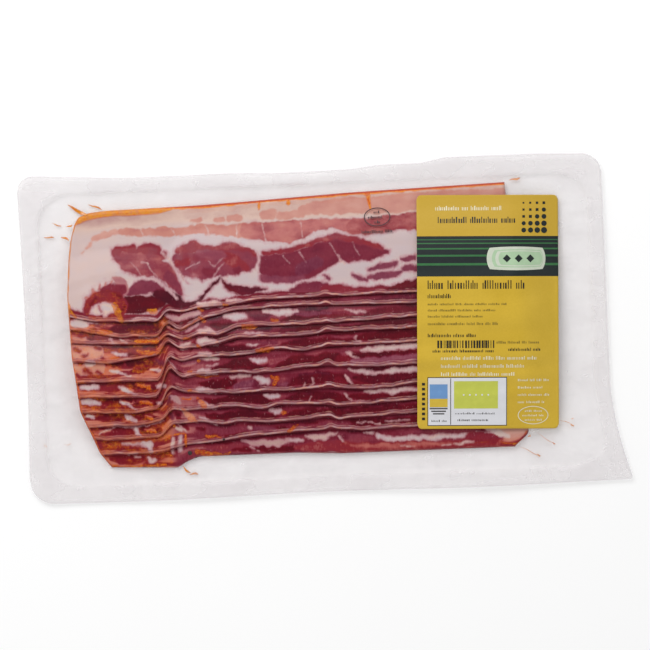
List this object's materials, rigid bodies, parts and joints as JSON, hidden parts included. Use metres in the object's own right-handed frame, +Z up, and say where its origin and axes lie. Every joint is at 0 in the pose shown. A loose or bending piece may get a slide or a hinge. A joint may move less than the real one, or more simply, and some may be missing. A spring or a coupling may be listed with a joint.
{
  "type": "bacon pack",
  "caption": "Flat vacuum pack of shingled bacon slices in clear film, with a sealed rim all round and a stuck-on rectangular label, lying label side up.",
  "frame": {"origin": "middle of the bounding box, on the floor that the pack lies on", "axes": "+X along the pack towards the label, +Y across it towards the top slice's rind edge, +Z up out of the label side"},
  "size_m": [0.2554, 0.1402, 0.0144],
  "materials": {
    "bacon": "cured streaky bacon, dark lean and pale fat with an orange paprika edge, wet under clear film",
    "film": "clear shrunk packing film, slightly milky where two sheets are sealed together",
    "label_paper": "smooth coated label paper, yellow with a dark green band",
    "print_ink": "thin dark printed ink",
    "paprika_oil": "orange paprika oil caught under the film"
  },
  "bodies": {
    "root": {"pack": "bacon", "label": "label_paper"}
  },
  "joints": []
}
